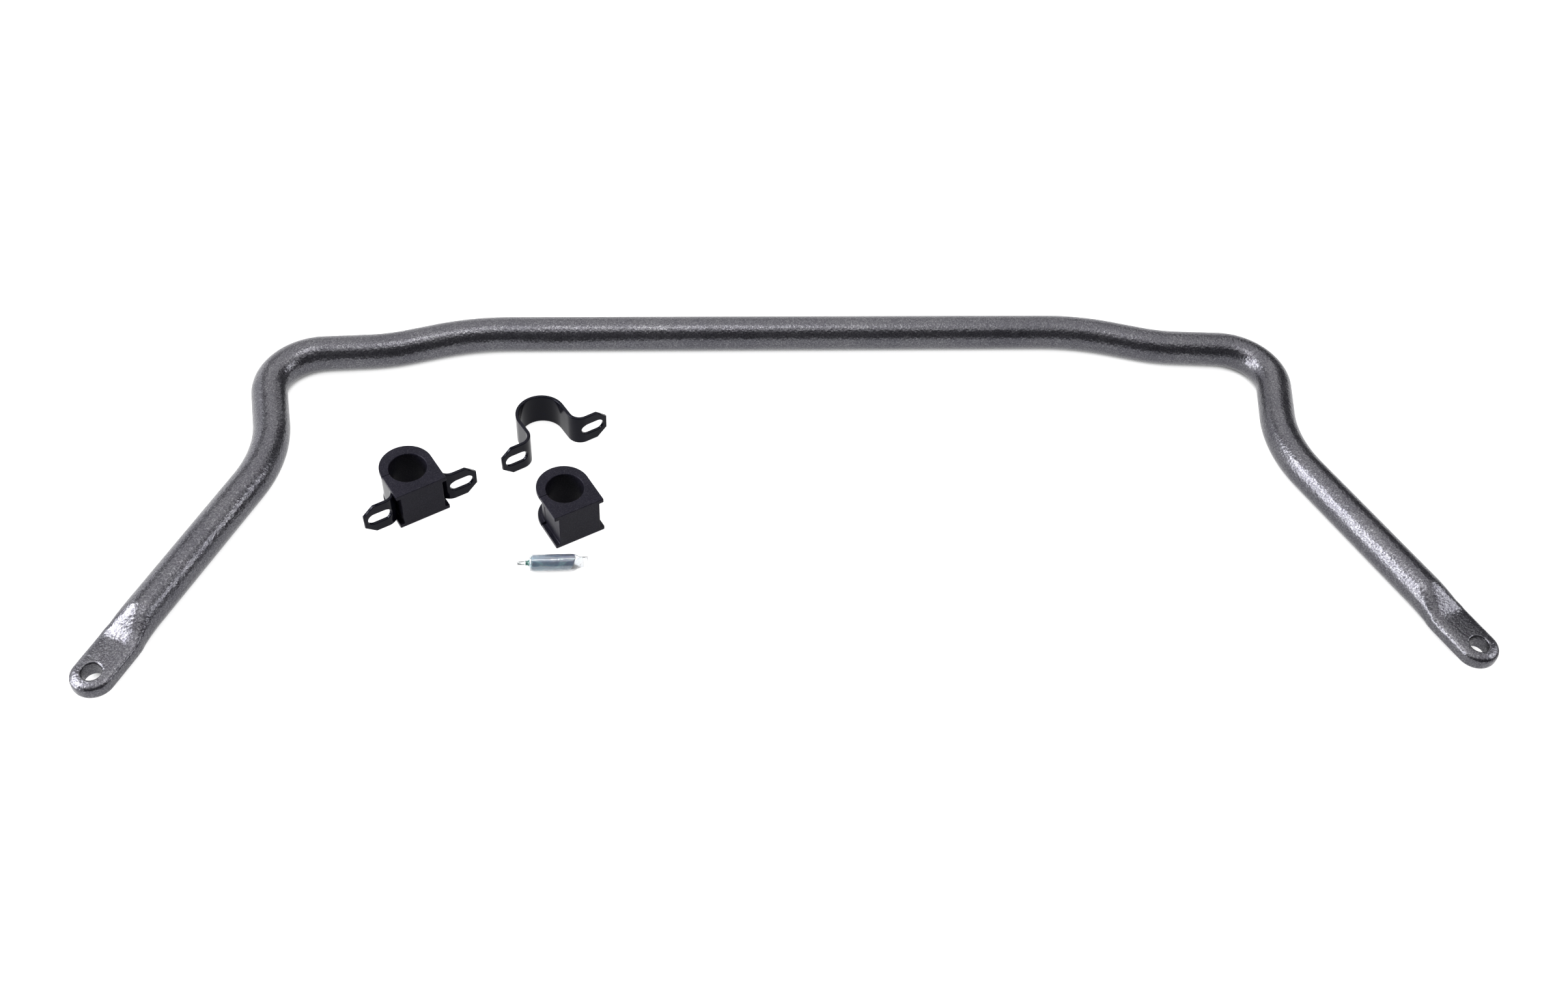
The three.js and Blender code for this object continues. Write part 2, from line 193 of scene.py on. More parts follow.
def add_object(name, mesh):
    piece = bpy.data.objects.new(name, mesh)
    bpy.context.scene.collection.objects.link(piece)
    return piece


def evaluated_mesh(piece):
    """A new mesh of what the curve or the mesh with modifiers shows."""
    graph = bpy.context.evaluated_depsgraph_get()
    return bpy.data.meshes.new_from_object(piece.evaluated_get(graph))


def applied(piece):
    """The piece with its modifiers made part of its mesh."""
    mesh = evaluated_mesh(piece)
    piece.modifiers.clear()
    piece.data = mesh
    return piece


def keep_flats_flat(piece):
    """Large faces keep their own normals, and the small rounds between them blend."""
    modifier = piece.modifiers.new("weighted", "WEIGHTED_NORMAL")
    modifier.mode = "FACE_AREA"
    modifier.weight = 80
    return applied(piece)


def add_rings(bm, rings, closed_ring=True):
    """Vertices and quads for a row of rings with the same number of points each."""
    rows = [[bm.verts.new(point) for point in ring] for ring in rings]
    count = len(rows[0])
    for near, far in zip(rows, rows[1:]):
        for i in range(count if closed_ring else count - 1):
            j = (i + 1) % count
            bm.faces.new((near[i], near[j], far[j], far[i]))
    return rows


def turned(profile, sides, shape=None):
    """Rings of points about X from a profile of (x, radius)."""
    rings = []
    for x, radius in profile:
        angles = [2 * math.pi * i / sides for i in range(sides)]
        ring = [Vector((x, radius * math.cos(a), radius * math.sin(a))) for a in angles]
        rings.append([shape(point) for point in ring] if shape else ring)
    return rings


def lathe(profile, sides, shape=None):
    """A closed round body about X from a profile of (x, radius) that starts and ends on the axis."""
    bm = bmesh.new()
    add_rings(bm, turned(profile, sides, shape))
    bmesh.ops.remove_doubles(bm, verts=bm.verts, dist=WELD)
    return bm


def arc(centre, radius, start, end, steps):
    """Points on an arc in plan, from one angle to another, both in degrees."""
    points = []
    for i in range(steps + 1):
        angle = math.radians(mix(start, end, i / steps))
        points.append((centre[0] + radius * math.cos(angle), centre[1] + radius * math.sin(angle)))
    return points


# ---------------------------------------------------------------- material helpers
OPENNESS_SAMPLES = 16


class Paint:
    """A node material with one Principled shader and the nodes that feed it."""

    def __init__(self, name, values=None):
        self.material = bpy.data.materials.new(name)
        self.material.use_nodes = True
        self.tree = self.material.node_tree
        self.shader = self.tree.nodes["Principled BSDF"]
        for key, value in (values or {}).items():
            self.shader.inputs[key].default_value = value
        self.coordinates = self.tree.nodes.new("ShaderNodeTexCoord").outputs["Object"]

    def join(self, source, target):
        self.tree.links.new(source, target)

    def scaled(self, factors):
        """The object's own coordinates, with each axis scaled."""
        node = self.tree.nodes.new("ShaderNodeMapping")
        node.inputs["Scale"].default_value = factors
        self.join(self.coordinates, node.inputs["Vector"])
        return node.outputs["Vector"]

    def noise(self, size, detail=2.0, roughness=0.5, distortion=0.0, vector=None):
        """Soft random values whose features are about size metres across."""
        node = self.tree.nodes.new("ShaderNodeTexNoise")
        node.inputs["Scale"].default_value = 1 / size
        node.inputs["Detail"].default_value = detail
        node.inputs["Roughness"].default_value = roughness
        node.inputs["Distortion"].default_value = distortion
        self.join(vector or self.coordinates, node.inputs["Vector"])
        return node.outputs["Fac"]

    def cells(self, size, smoothness):
        """Rounded dimples about size metres across."""
        node = self.tree.nodes.new("ShaderNodeTexVoronoi")
        node.feature = "SMOOTH_F1"
        node.inputs["Scale"].default_value = 1 / size
        node.inputs["Smoothness"].default_value = smoothness
        self.join(self.coordinates, node.inputs["Vector"])
        return node.outputs["Distance"]

    def axis(self, name):
        """The object's own X, Y or Z, in metres."""
        node = self.tree.nodes.new("ShaderNodeSeparateXYZ")
        self.join(self.coordinates, node.inputs["Vector"])
        return node.outputs[name]

    def math(self, operation, a, b):
        node = self.tree.nodes.new("ShaderNodeMath")
        node.operation = operation
        for value, socket in zip((a, b), node.inputs):
            if isinstance(value, (int, float)):
                socket.default_value = value
            else:
                self.join(value, socket)
        return node.outputs["Value"]

    def spread(self, source, low, high, to_low, to_high):
        """Maps source from low..high to to_low..to_high, and holds it at both ends."""
        node = self.tree.nodes.new("ShaderNodeMapRange")
        ends = {"From Min": low, "From Max": high, "To Min": to_low, "To Max": to_high}
        for key, value in ends.items():
            node.inputs[key].default_value = value
        self.join(source, node.inputs["Value"])
        return node.outputs["Result"]

    def ramp(self, source, *stops):
        """A colour ramp through (position, colour) stops."""
        node = self.tree.nodes.new("ShaderNodeValToRGB")
        ramp = node.color_ramp
        while len(ramp.elements) < len(stops):
            ramp.elements.new(0.5)
        for element, (position, colour) in zip(ramp.elements, stops):
            element.position = position
            element.color = (*colour, 1)
        self.join(source, node.inputs["Fac"])
        return node.outputs["Color"]

    def blend(self, factor, a, b, mode="MIX"):
        """Two colours, mixed by factor, which is a number or a socket."""
        node = self.tree.nodes.new("ShaderNodeMix")
        node.data_type = "RGBA"
        node.blend_type = mode
        colour_a, colour_b = node.inputs[6], node.inputs[7]
        for value, socket in ((factor, node.inputs[0]), (a, colour_a), (b, colour_b)):
            if isinstance(value, bpy.types.NodeSocket):
                self.join(value, socket)
            elif socket.type == "RGBA":
                socket.default_value = (*value, 1)
            else:
                socket.default_value = value
        return node.outputs[2]

    def bump(self, height, distance, normal=None):
        """Relief whose full height is distance metres, over another relief if normal is given."""
        node = self.tree.nodes.new("ShaderNodeBump")
        node.inputs["Strength"].default_value = 1.0
        node.inputs["Distance"].default_value = distance
        self.join(height, node.inputs["Height"])
        if normal:
            self.join(normal, node.inputs["Normal"])
        return node.outputs["Normal"]

    def openness(self, distance):
        """1 where nothing stands near, and less at the bottom of a well."""
        node = self.tree.nodes.new("ShaderNodeAmbientOcclusion")
        node.samples = OPENNESS_SAMPLES
        node.inputs["Distance"].default_value = distance
        return node.outputs["AO"]

    def feed(self, name, source):
        self.join(source, self.shader.inputs[name])


# ---------------------------------------------------------------- materials
def powder_coat():
    """Silver-vein powder coat: a fine hammered skin, with metal flake lighter on the crests."""
    paint = Paint("powder_coat", {"Metallic": 0.9})
    grain = paint.cells(2.4 * MM, 0.5)
    fine = paint.noise(1.1 * MM, 3.0, 0.6, 0.6)
    height = paint.math("ADD", grain, paint.math("MULTIPLY", fine, 0.5))
    flake = paint.ramp(
        fine,
        (0.3, (0.05, 0.048, 0.06)),
        (0.5, (0.086, 0.085, 0.096)),
        (0.72, (0.19, 0.192, 0.204)),
    )
    drift = paint.noise(45 * MM, 3.0, 0.6)
    cloud = paint.ramp(drift, (0.3, (0.86, 0.86, 0.88)), (0.7, (1.1, 1.1, 1.08)))
    paint.feed("Base Color", paint.blend(1.0, flake, cloud, "MULTIPLY"))
    smear = paint.noise(9 * MM, 2.0)
    paint.feed("Roughness", paint.spread(smear, 0.3, 0.7, 0.22, 0.3))
    paint.feed("Normal", paint.bump(height, 0.22 * MM))
    return paint.material


def polyurethane():
    """Moulded black polyurethane: satin, a little uneven, with fine dust on it."""
    paint = Paint("polyurethane", {"Specular IOR Level": 0.1, "Specular Tint": (0.82, 0.8, 1.0, 1)})
    cloud = paint.noise(14 * MM, 4.0, 0.6)
    dust = paint.noise(0.8 * MM, 3.0, 0.7)
    black = paint.ramp(cloud, (0.3, (0.0022, 0.002, 0.0048)), (0.7, (0.0052, 0.0048, 0.009)))
    specks = paint.ramp(dust, (0.5, (0, 0, 0)), (0.9, (0.04, 0.039, 0.043)))
    paint.feed("Base Color", paint.blend(1.0, black, specks, "ADD"))
    paint.feed("Roughness", paint.spread(cloud, 0.3, 0.7, 0.3, 0.42))
    skin = paint.bump(paint.noise(0.9 * MM, 3.0, 0.6), 0.035 * MM)
    paint.feed("Normal", paint.bump(paint.noise(9 * MM, 2.0), 0.12 * MM, normal=skin))
    return paint.material


def black_paint():
    """Gloss black paint over pressed steel, with orange peel and a duller film in patches."""
    paint = Paint("black_paint", {"Specular IOR Level": 0.11, "Specular Tint": (0.8, 0.82, 1.0, 1)})
    cloud = paint.noise(11 * MM, 3.0, 0.6)
    black = paint.ramp(cloud, (0.3, (0.0012, 0.0012, 0.003)), (0.7, (0.003, 0.003, 0.0058)))
    paint.feed("Base Color", black)
    paint.feed("Roughness", paint.spread(cloud, 0.3, 0.7, 0.1, 0.18))
    peel = paint.bump(paint.noise(1.8 * MM, 2.0, 0.5), 0.02 * MM)
    paint.feed("Normal", paint.bump(paint.noise(14 * MM, 1.0), 0.06 * MM, normal=peel))
    return paint.material


def clear_plastic():
    """Soft clear plastic film, a little milky and rippled."""
    paint = Paint("clear_plastic", {"IOR": 1.5, "Transmission Weight": 0.96})
    ripple = paint.noise(8 * MM, 2.0, 0.5, 0.8)
    clear = paint.ramp(ripple, (0.3, (0.93, 0.955, 0.975)), (0.7, (0.975, 0.985, 1.0)))
    paint.feed("Base Color", clear)
    paint.feed("Roughness", paint.spread(ripple, 0.3, 0.7, 0.06, 0.16))
    paint.feed("Normal", paint.bump(ripple, 0.4 * MM))
    return paint.material


def stained_plastic():
    """The head's plastic: clear in the nozzle, green with grease in the neck, milky in the disc."""
    paint = Paint("stained_plastic", {"IOR": 1.5})
    along = paint.axis("X")
    haze = paint.noise(3 * MM, 3.0, 0.6)
    clear = paint.ramp(haze, (0.3, (0.93, 0.95, 0.96)), (0.7, (0.98, 0.99, 1.0)))
    green = paint.ramp(haze, (0.3, (0.02, 0.1, 0.085)), (0.7, (0.05, 0.17, 0.14)))
    milky = paint.ramp(haze, (0.3, (0.26, 0.44, 0.52)), (0.7, (0.4, 0.57, 0.64)))
    root = (-NECK_LENGTH - 0.4 * MM, -NECK_LENGTH + 0.4 * MM)
    neck = paint.spread(along, *root, 0, 1)
    disc = paint.spread(along, -0.6 * MM, 0.3 * MM, 0, 1)
    paint.feed("Base Color", paint.blend(disc, paint.blend(neck, clear, green), milky))
    paint.feed("Transmission Weight", paint.spread(along, *root, 0.96, 0.35))
    paint.feed("Roughness", paint.spread(haze, 0.3, 0.7, 0.1, 0.25))
    paint.feed("Normal", paint.bump(haze, 0.06 * MM))
    return paint.material


def grease():
    """Blue-green grease with a darker swirl and a thin green streak, from filling."""
    paint = Paint("grease", {"Coat Weight": 0.6, "Coat Roughness": 0.08})
    swirl = paint.noise(11 * MM, 3.0, 0.5, 1.6, paint.scaled((0.35, 1, 1)))
    body = paint.ramp(
        swirl,
        (0.3, (0.02, 0.09, 0.16)),
        (0.5, (0.035, 0.14, 0.225)),
        (0.75, (0.09, 0.23, 0.3)),
    )
    dark = paint.spread(paint.axis("Z"), 2.0 * MM, 5.6 * MM, 0, 1)
    rear = paint.spread(paint.axis("X"), 8 * MM, 34 * MM, 0.25, 1)
    shaded = paint.blend(paint.math("MULTIPLY", dark, rear), body, (0.03, 0.05, 0.13))
    streak = paint.ramp(swirl, (0.56, (0, 0, 0)), (0.6, (0.03, 0.12, 0.07)), (0.64, (0, 0, 0)))
    neck = paint.spread(paint.axis("X"), 0.5 * MM, 1.5 * MM, 1, 0)
    streaked = paint.blend(1.0, shaded, streak, "ADD")
    paint.feed("Base Color", paint.blend(neck, streaked, (0.012, 0.055, 0.05)))
    paint.feed("Roughness", paint.spread(swirl, 0.3, 0.7, 0.25, 0.4))
    paint.feed("Normal", paint.bump(swirl, 0.4 * MM))
    return paint.material


# ---------------------------------------------------------------- bar
def run_points(start, end):
    """Points along a straight run, without its end."""
    count = max(1, round((end - start).length / BAR_STEP))
    return [start.lerp(end, i / count) for i in range(count)]


def half_line():
    """The right half's centreline in plan, as (point, direction), from the middle to the eye."""
    corners = [Vector((0, 0)), *[Vector(bend[:2]) for bend in BENDS], EYE]
    stations = []
    here = corners[0]
    for (_, _, radius), before, corner, after in zip(BENDS, corners, corners[1:], corners[2:]):
        arriving = (corner - before).normalized()
        leaving = (after - corner).normalized()
        turn = math.atan2(arriving.cross(leaving), arriving.dot(leaving))
        start = corner - arriving * radius * math.tan(abs(turn) / 2)
        stations += [(point, arriving) for point in run_points(here, start)]
        hand = math.copysign(1, turn)
        centre = start + Vector((-arriving.y, arriving.x)) * hand * radius
        steps = max(4, round(abs(turn) * radius / BAR_STEP))
        for i in range(steps + 1):
            swing = Matrix.Rotation(turn * i / steps, 2)
            stations.append((centre + swing @ (start - centre), swing @ arriving))
        here, _ = stations.pop()
    arm = (EYE - corners[-2]).normalized()
    stations += [(point, arm) for point in run_points(here, EYE)]
    return [*stations, (EYE, arm)]


def squared(unit):
    """A round section's unit coordinate, moved to a rounded rectangle's."""
    return math.copysign(abs(unit) ** (2 / FORGED_SQUARENESS), unit)


def section(back):
    """The section's points as (across, up), back metres from the eye's hole."""
    press = 1 - smoothstep(*PRESSED, back)
    spread = 1 - smoothstep(*SPREAD, back)
    top = mix(BAR_RADIUS, EYE_THICKNESS / 2 - EYE_DROP, press)
    bottom = mix(-BAR_RADIUS, -EYE_THICKNESS / 2 - EYE_DROP, spread)
    points = []
    for i in range(BAR_SIDES):
        angle = math.pi / 2 - 2 * math.pi * i / BAR_SIDES
        unit_across, unit_up = math.cos(angle), math.sin(angle)
        formed = mix(spread, press, smoothstep(-UPPER_BLEND, UPPER_BLEND, unit_up))
        across = mix(unit_across * BAR_RADIUS, squared(unit_across) * EYE_WIDTH / 2, formed)
        up = mix(unit_up, squared(unit_up), formed)
        points.append((across, (top + bottom) / 2 + up * (top - bottom) / 2))
    return points


def placed(points, centre, side):
    """A section's (across, up) points in space, about a point of the centreline."""
    return [(centre + side * across).to_3d() + Vector((0, 0, up)) for across, up in points]


def bar_half():
    """The right half of the bar, open in the middle, with a round end about the eye's hole."""
    bm = bmesh.new()
    stations = half_line()
    rings = []
    for point, direction in stations:
        side = Vector((-direction.y, direction.x))
        back = (EYE - point).length
        rings.append(placed(section(back), point, side))
    add_rings(bm, rings)
    _, arm = stations[-1]
    side = Vector((-arm.y, arm.x))
    half_section = section(0)[: BAR_SIDES // 2 + 1]
    cap = []
    for j in range(CAP_STEPS + 1):
        angle = math.pi * j / CAP_STEPS
        outward = side * math.cos(angle) + arm * math.sin(angle)
        cap.append(placed(half_section, EYE, outward))
    add_rings(bm, cap, closed_ring=False)
    bmesh.ops.remove_doubles(bm, verts=bm.verts, dist=0.001 * MM)
    return bm


def hole_cutter():
    """What makes the hole: a drill with a flare at both faces, which leaves a rounded rim."""
    top = EYE_THICKNESS / 2
    rim = []
    for degrees in (0, 15, 30, 45, 60, 75):
        angle = math.radians(degrees)
        below = HOLE_ROUND * (1 - math.sin(angle))
        wider = HOLE_ROUND * (1 - math.cos(angle))
        rim.append((top - below, HOLE_RADIUS + wider))
    beyond = (top + 0.4 * MM, rim[-1][1] + 1.8 * MM)
    upper = [*rim, beyond]
    profile = [(-beyond[0], 0), *[(-x, r) for x, r in reversed(upper)], *upper, (beyond[0], 0)]
    bm = lathe(profile, HOLE_SIDES)
    bmesh.ops.rotate(bm, verts=bm.verts, matrix=Matrix.Rotation(-math.pi / 2, 3, "Y"))
    return bm


def relieved(mesh):
    """Sinks the skin by a random depth, as thick powder coat flows and wrinkles in the oven."""
    normals = [vertex.normal.copy() for vertex in mesh.vertices]
    for vertex, normal in zip(mesh.vertices, normals):
        depth = 0.5 + 0.5 * noise.noise(vertex.co / RELIEF_SIZE)
        vertex.co -= normal * RELIEF_DEPTH * 2 * depth


def make_bar():
    bm = bar_half()
    everything = bm.verts[:] + bm.edges[:] + bm.faces[:]
    bmesh.ops.mirror(bm, geom=everything, axis="X", merge_dist=0.01 * MM)
    bmesh.ops.remove_doubles(bm, verts=bm.verts, dist=0.001 * MM)
    bar = add_object("bar_coated", make_mesh("bar_coated", bm))
    cutters = bmesh.new()
    for hand in (-1, 1):
        cutter = bpy.data.meshes.new("cutter")
        drill = hole_cutter()
        bmesh.ops.translate(drill, verts=drill.verts, vec=(hand * EYE.x, EYE.y, -EYE_DROP))
        drill.to_mesh(cutter)
        drill.free()
        cutters.from_mesh(cutter)
    tool = add_object("drill", make_mesh("drill", cutters))
    cut = bar.modifiers.new("holes", "BOOLEAN")
    cut.operation = "DIFFERENCE"
    cut.solver = "EXACT"
    cut.object = tool
    applied(bar)
    bpy.data.objects.remove(tool)
    relieved(bar.data)
    return bar


# ---------------------------------------------------------------- bushing
def bushing_outline(inset, lip):
    """The outer wall in plan, from the slit's lower lip round to its upper lip. The sides and the
    arch are set in by inset, and the base by lip."""
    half = BUSHING_HALF_WIDTH - inset
    base = -BUSHING_BASE + lip
    corner = MOULD_ROUND
    points = [(-half, SLIT_OFFSET - SLIT_WIDTH / 2)]
    points += arc((-half + corner, base + corner), corner, 180, 270, ROUND_STEPS)
    points += arc((half - corner, base + corner), corner, -90, 0, ROUND_STEPS)
    points += arc((0, ARCH_OFFSET), half, 0, 180, ARCH_STEPS)
    points += [(-half, SLIT_OFFSET + SLIT_WIDTH / 2)]
    return points


def bore_outline(radius):
    """The bore in plan, from the slit's upper lip round to its lower lip."""
    upper = 180 - math.degrees(math.asin((SLIT_OFFSET + SLIT_WIDTH / 2) / radius))
    lower = 180 - math.degrees(math.asin((SLIT_OFFSET - SLIT_WIDTH / 2) / radius)) - 360
    return arc((0, 0), radius, upper, lower, BORE_STEPS)


def rounding(depth, steps=ROUND_STEPS):
    """A quarter round from the face to the side, as (below the face, set in)."""
    angles = [math.pi / 2 * i / steps for i in range(steps + 1)]
    return [(depth * (1 - math.cos(a)), depth * (1 - math.sin(a))) for a in angles]


def bushing_levels():
    """The lower half's levels, as (height, sides set in, base set in, bore's height, bore opened)."""
    levels = []
    for height, inset in rounding(MOULD_ROUND):
        levels.append((height, inset, inset))
    for below, inset in reversed(rounding(MOULD_ROUND / 2)):
        levels.append((FLANGE_THICKNESS - below, inset, 0))
    for i in range(ROUND_STEPS + 1):
        angle = math.pi / 2 * i / ROUND_STEPS
        rise = MOULD_FILLET * (1 - math.cos(angle))
        inset = CHANNEL_DEPTH - MOULD_FILLET * (1 - math.sin(angle))
        levels.append((FLANGE_THICKNESS + rise, inset, 0))
    levels.append((BUSHING_HEIGHT / 2, CHANNEL_DEPTH, 0))
    mouth = rounding(BORE_CHAMFER, MOUTH_STEPS)
    full = []
    for i, level in enumerate(levels):
        if i < len(mouth):
            bore = mouth[i]
        else:
            share = (i + 1 - len(mouth)) / (len(levels) - len(mouth))
            bore = (mix(BORE_CHAMFER, BUSHING_HEIGHT / 2, share), 0)
        full.append((*level, *bore))
    return full


def make_bushing(name):
    bm = bmesh.new()
    lower = bushing_levels()
    upper = []
    for height, inset, lip, bore_height, opened in reversed(lower[:-1]):
        upper.append((BUSHING_HEIGHT - height, inset, lip, BUSHING_HEIGHT - bore_height, opened))
    rings = []
    for height, inset, lip, bore_height, opened in lower + upper:
        ring = [Vector((x, y, height)) for x, y in bushing_outline(inset, lip)]
        ring += [Vector((x, y, bore_height)) for x, y in bore_outline(BORE_RADIUS + opened)]
        rings.append(ring)
    rows = add_rings(bm, rings)
    bm.faces.new(rows[0])
    bm.faces.new(rows[-1])
    return keep_flats_flat(add_object(name, make_mesh(name, bm)))


# ---------------------------------------------------------------- bracket
STRAP_MID = BUSHING_HALF_WIDTH - CHANNEL_DEPTH + STRAP_GAP + STRAP_THICKNESS / 2
BEND_MID = STRAP_BEND + STRAP_THICKNESS / 2
BEND_AT = STRAP_MID + BEND_MID
LEG_FOOT = -EAR_FACE + STRAP_THICKNESS / 2 + BEND_MID


def strap_runs():
    """The strap's middle from the top of the arch outwards: (length, curvature) of each run."""
    return [
        (STRAP_MID * math.pi / 2, -1 / STRAP_MID),
        (ARCH_OFFSET - LEG_FOOT, 0),
        (BEND_MID * math.pi / 2, 1 / BEND_MID),
        (EAR_HALF_SPAN - BEND_AT, 0),
    ]


STRAP_HALF_LENGTH = sum(length for length, _ in strap_runs())


def strap_frame(along):
    """Where the strap's middle is, and its outward normal, that far from the top of the arch."""
    hand = math.copysign(1, along)
    left = abs(along)
    point = Vector((0, ARCH_OFFSET + STRAP_MID))
    heading = 0.0
    for length, curvature in strap_runs():
        step = min(left, length)
        if curvature:
            radius = 1 / curvature
            centre = point + Vector((-math.sin(heading), math.cos(heading))) * radius
            heading += step * curvature
            point = centre - Vector((-math.sin(heading), math.cos(heading))) * radius
        else:
            point = point + Vector((math.cos(heading), math.sin(heading))) * step
        left -= step
    normal = Vector((-math.sin(heading), math.cos(heading)))
    return Vector((point.x * hand, point.y)), Vector((normal.x * hand, normal.y))


def flat_blank():
    """The strap before it is bent: a plate with cut corners, two slots and rounded edges."""
    long, wide = STRAP_HALF_LENGTH, STRAP_WIDTH / 2
    along, across = EAR_CHAMFER
    quarter = [(long, wide - across), (long - along, wide)]
    outline = [*quarter, *[(-x, y) for x, y in reversed(quarter)]]
    outline += [(-x, -y) for x, y in outline]
    loops = [outline]
    slot_at = STRAP_HALF_LENGTH - EAR_HALF_SPAN + SLOT_OFFSET
    reach = (SLOT_LENGTH - SLOT_WIDTH) / 2
    for hand in (-1, 1):
        centre = hand * slot_at
        loop = arc((centre + reach, 0), SLOT_WIDTH / 2, -90, 90, SLOT_STEPS)
        loop += arc((centre - reach, 0), SLOT_WIDTH / 2, 90, 270, SLOT_STEPS)
        loops.append(loop)
    curve = bpy.data.curves.new("blank", "CURVE")
    curve.dimensions = "2D"
    curve.fill_mode = "BOTH"
    curve.extrude = STRAP_THICKNESS / 2 - STRAP_EDGE
    curve.bevel_depth = STRAP_EDGE
    curve.bevel_resolution = 3
    curve.offset = -STRAP_EDGE
    for loop in loops:
        spline = curve.splines.new("POLY")
        spline.points.add(len(loop) - 1)
        for point, (x, y) in zip(spline.points, loop):
            point.co = (x, y, 0, 1)
        spline.use_cyclic_u = True
    blank = add_object("blank", curve)
    bm = bmesh.new()
    bm.from_mesh(evaluated_mesh(blank))
    bpy.data.objects.remove(blank)
    bmesh.ops.remove_doubles(bm, verts=bm.verts, dist=0.005 * MM)
    return bm


def make_bracket(name):
    bm = flat_blank()
    reach = STRAP_HALF_LENGTH - (EAR_HALF_SPAN - BEND_AT)
    for i in range(STRAP_CUTS + 1):
        at = (mix(-reach, reach, i / STRAP_CUTS), 0, 0)
        everything = bm.verts[:] + bm.edges[:] + bm.faces[:]
        bmesh.ops.bisect_plane(bm, geom=everything, plane_co=at, plane_no=(1, 0, 0), dist=0.001 * MM)
    for vertex in bm.verts:
        point, normal = strap_frame(vertex.co.x)
        bent = point + normal * vertex.co.z
        vertex.co = (bent.x, bent.y, STRAP_WIDTH / 2 + vertex.co.y)
    return keep_flats_flat(add_object(name, make_mesh(name, bm)))


# ---------------------------------------------------------------- grease tube
def pinched(thickness):
    """A shape function that flattens the tube's tail to that half thickness, with crimp ribs."""
    def shape(point):
        pinch = smoothstep(TUBE_ROUND_LENGTH, SEAL_START, point.x)
        dent = min(1, 1 + DENTS * noise.noise(point / DENT_SIZE) * (1 - pinch))
        flat = point.y / (point.yz.length or 1) * thickness
        if point.x > SEAL_START:
            rib = abs(math.cos(math.pi * (point.x - SEAL_START) / CRIMP_PITCH))
            flat *= 0.75 + 0.25 * rib
        return Vector((point.x, mix(point.y * dent, flat, pinch), point.z * mix(1, 0.97, pinch)))
    return shape


def tail(radius, start, end):
    """The side of the tube, of one radius, in steps short enough to bend."""
    count = max(2, round((end - start) / TUBE_STEP))
    return [(mix(start, end, i / count), radius) for i in range(count + 1)]


def shoulder(radius, front, depth):
    """The round from the tube's front face to its side."""
    return [(front + back, radius - inset) for back, inset in rounding(depth, SHOULDER_STEPS)]


def film_profile(front, radius, depth, end):
    """One skin of the film, from the hole in its front to its tail."""
    body = tail(radius, 3 * MM, end)
    return [(front, SHOULDER_HOLE), *shoulder(radius, front, depth), *body]


def make_sleeve():
    outside = film_profile(0, TUBE_RADIUS, SHOULDER_ROUND, TUBE_LENGTH)
    inside = film_profile(FILM, TUBE_RADIUS - FILM, SHOULDER_ROUND - FILM, SEAL_START)
    bm = bmesh.new()
    outer_rows = add_rings(bm, turned(outside, TUBE_SIDES, pinched(SEAL_THICKNESS / 2)))
    inner_rows = add_rings(bm, turned(inside, TUBE_SIDES, pinched(SEAL_CREVICE / 2)))
    for i in range(TUBE_SIDES):
        j = (i + 1) % TUBE_SIDES
        bm.faces.new((outer_rows[0][i], outer_rows[0][j], inner_rows[0][j], inner_rows[0][i]))
    bm.faces.new(outer_rows[-1])
    bm.faces.new(inner_rows[-1])
    return add_object("tube_sleeve_film", make_mesh("tube_sleeve_film", bm))


def make_head():
    """The tube's inner disc, its cone, neck and nozzle, with a bore right through."""
    disc = TUBE_RADIUS - 2 * FILM - PART_GAP
    front = FILM + PART_GAP
    back = front + DISC_THICKNESS
    collar = SHOULDER_HOLE - PART_GAP
    nozzle_end = -NECK_LENGTH - NOZZLE_LENGTH
    outside = [
        (nozzle_end, 1.35 * MM),
        (nozzle_end + 0.15 * MM, 1.5 * MM),
        (-NECK_LENGTH - 0.5 * MM, 1.8 * MM),
        (-NECK_LENGTH - 0.3 * MM, 2.15 * MM),
        (-NECK_LENGTH + 0.3 * MM, 2.15 * MM),
        (-NECK_LENGTH + 0.6 * MM, NECK_RADIUS),
        (-1.8 * MM, NECK_RADIUS),
        (-1.2 * MM, 2.35 * MM),
        (-0.2 * MM, collar - 0.2 * MM),
        (0, collar),
        (front, collar),
        (front, disc - DISC_THICKNESS),
        (back - 0.2 * MM, disc - 0.1 * MM),
        (back, disc - 0.3 * MM),
    ]
    inside = [
        (back, NECK_BORE),
        (-NECK_LENGTH, NECK_BORE),
        (-NECK_LENGTH - 0.8 * MM, NOZZLE_BORE),
        (nozzle_end, NOZZLE_BORE),
    ]
    bm = bmesh.new()
    add_rings(bm, turned([*outside, *inside, outside[0]], HEAD_SIDES))
    bmesh.ops.remove_doubles(bm, verts=bm.verts, dist=0.001 * MM)
    return add_object("tube_head_moulding", make_mesh("tube_head_moulding", bm))


def make_tip():
    """The nozzle's closed tip, with a blunt end."""
    root = -NECK_LENGTH - NOZZLE_LENGTH - PART_GAP
    end = root - TIP_LENGTH
    profile = [
        (root, 0),
        (root, 1.15 * MM),
        (root - 0.2 * MM, 1.3 * MM),
        (mix(root, end, 0.5), 1.05 * MM),
        (end + 0.5 * MM, 0.8 * MM),
        (end + 0.15 * MM, 0.6 * MM),
        (end, 0.3 * MM),
        (end, 0),
    ]
    return add_object("tube_tip_moulding", make_mesh("tube_tip_moulding", lathe(profile, TIP_SIDES)))


